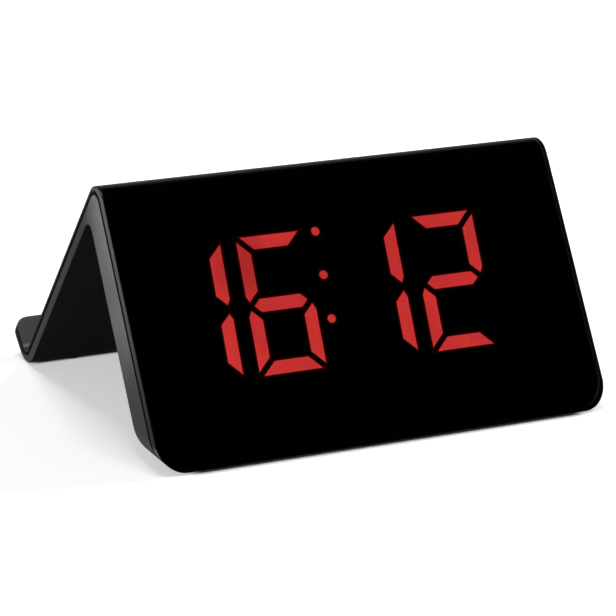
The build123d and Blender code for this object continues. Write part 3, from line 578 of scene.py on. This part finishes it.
# Lines on the floor under the front edge and the bend: where their shade begins, is full, fades and ends
# along Y, and how far they reach to each side, in millimetres
FLOOR_LINES = ((-73.4, -71.2, -63.0, -58.0, 69.0), (51.7, 54.7, 59.0, 63.0, 78.0))
FLOOR_FADE = 3.0

# Surroundings in reflections: the back of the room, the patch at the back left and the table below
BACK_STRENGTH = 0.23
PATCH_WAY = Vector((-0.4, 0.866, -0.3))
PATCH_DARK, PATCH_STRENGTH = 0.004, 0.43
TABLE_STRENGTH = 0.045
AMBIENT_STRENGTH = 0.13

# Camera: its place, its directions to the right and up, and its lens on a 36 mm sensor
CAMERA_PLACE = (-0.390603, -0.856028, 0.316526)
CAMERA_RIGHT = Vector((0.90921833, -0.41631439, 0.00208911))
CAMERA_UP = Vector((0.1212235, 0.26954249, 0.95532806))
CAMERA_LENS = 169.6
CAMERA_SENSOR = 36.0


def contact_shade(tree, place):
    """Shade on the floor where the front edge and the bend come close to it."""
    spot = split(tree, place)
    sideways = maths(tree, "ABSOLUTE", spot["X"])
    lines = []
    for start, full, fading, end, reach in FLOOR_LINES:
        rise = map_range(tree, spot["Y"], start * MM, full * MM)
        fall = map_range(tree, spot["Y"], fading * MM, end * MM, 1.0, 0.0)
        across = map_range(tree, sideways, (reach - FLOOR_FADE) * MM, (reach + FLOOR_FADE) * MM, 1.0, 0.0)
        lines.append(maths(tree, "MULTIPLY", across, maths(tree, "MULTIPLY", rise, fall)))
    return maths(tree, "MAXIMUM", *lines)


def build_floor():
    """A wide pale light table, which glows to the camera so that its shadows stay light."""
    material, tree, shader = new_finish("pale_floor", Roughness=0.95, Specular_IOR_Level=0.1)
    seen = tree.nodes.new("ShaderNodeLightPath").outputs["Is Camera Ray"]
    place = object_place(tree)
    glow = map_range(tree, measure(tree, "LENGTH", place), GLOW_START, GLOW_FULL, GLOW_NEAR, GLOW_FAR)
    clear = maths(tree, "SUBTRACT", 1.0, contact_shade(tree, place))
    glow = maths(tree, "MULTIPLY", glow, clear)
    tree.links.new(maths(tree, "MULTIPLY", seen, glow), shader.inputs["Emission Strength"])
    shade = noise(tree, place, 3.0, 2.0, 0.5)
    tint = mix_colour(tree, shade, colour(0.9, 0.9, 0.9), colour(0.93, 0.93, 0.93))
    tree.links.new(tint, shader.inputs["Base Color"])
    sheet = bmesh.new()
    bmesh.ops.create_grid(sheet, x_segments=1, y_segments=1, size=FLOOR_HALF)
    floor = add_piece("floor", sheet, material)
    floor.visible_glossy = False


def build_world():
    """White for the camera. For reflections a dark room with a paler back, a pale patch and a table below."""
    world = bpy.data.worlds.new("studio")
    world.use_nodes = True
    bpy.context.scene.world = world
    tree = world.node_tree
    path = tree.nodes.new("ShaderNodeLightPath").outputs
    way = tree.nodes.new("ShaderNodeTexCoord").outputs["Generated"]
    turns = split(tree, way)
    behind = map_range(tree, turns["Y"], 0.45, 0.95, 0.0, BACK_STRENGTH)
    above = map_range(tree, turns["Z"], -0.12, 0.08)
    towards = measure(tree, "DOT_PRODUCT", way, PATCH_WAY)
    patch = map_range(tree, towards, 0.8, 0.95, PATCH_DARK, PATCH_STRENGTH)
    below = map_range(tree, turns["Z"], -0.8, -0.5, TABLE_STRENGTH, 0.0)
    reflected = maths(tree, "MULTIPLY_ADD", behind, above, maths(tree, "ADD", patch, below))
    ambient = maths(tree, "MULTIPLY_ADD", path["Is Diffuse Ray"], AMBIENT_STRENGTH, reflected)
    background = tree.nodes["Background"].inputs
    tree.links.new(maths(tree, "MAXIMUM", ambient, path["Is Camera Ray"]), background["Strength"])
    background["Color"].default_value = colour(1, 1, 1)


def area_light(name, place, sizes, power, mirrored=False, spread=False, back=None, upright=(0.0, 0.0, 1.0)):
    """A soft light that shows in gloss (mirrored) or on matt surfaces (spread).

    Its back points away from the clock, or else the way that is given.
    """
    light = bpy.data.lights.new(name, "AREA")
    light.shape = "RECTANGLE"
    light.size, light.size_y = sizes
    light.energy = power
    lamp = bpy.data.objects.new(name, light)
    lamp.location = place
    back = Vector(back or place).normalized()
    up = Vector(upright)
    up = (up - back * up.dot(back)).normalized()
    lamp.rotation_euler = Matrix((up.cross(back), up, back)).transposed().to_euler()
    lamp.visible_camera = False
    lamp.visible_glossy = mirrored
    lamp.visible_diffuse = spread
    bpy.context.scene.collection.objects.link(lamp)


def build_camera():
    """The photograph's view: a long lens from the front left, a little above the ridge."""
    lens = bpy.data.cameras.new("camera")
    lens.lens = CAMERA_LENS
    lens.sensor_width = CAMERA_SENSOR
    lens.clip_start = 0.05
    lens.clip_end = 50.0
    camera = bpy.data.objects.new("camera", lens)
    back = CAMERA_RIGHT.cross(CAMERA_UP)
    turn = Matrix((CAMERA_RIGHT, CAMERA_UP, back)).transposed().to_4x4()
    camera.matrix_world = Matrix.Translation(CAMERA_PLACE) @ turn
    bpy.context.scene.collection.objects.link(camera)
    bpy.context.scene.camera = camera


build_floor()
build_world()
area_light("key_light", (1.1, 0.52, 1.05), (0.35, 0.35), 8.4, spread=True)
area_light("soft_box", (0.0, 0.35, 2.2), (0.7, 0.7), 16.5, spread=True)
area_light("top_light", (0.0, 0.35, 2.2), (1.0, 1.0), 26.0, mirrored=True)
area_light(
    "end_light",
    (-0.1062, 0.0259, 0.0384),
    (0.012, 0.083),
    0.0228,
    mirrored=True,
    back=(0.75, 0.66, 0.0),
    upright=(0.28, -0.318, 0.906),
)
build_camera()
bpy.context.scene.view_settings.view_transform = "Standard"
bpy.context.scene.view_settings.look = "None"
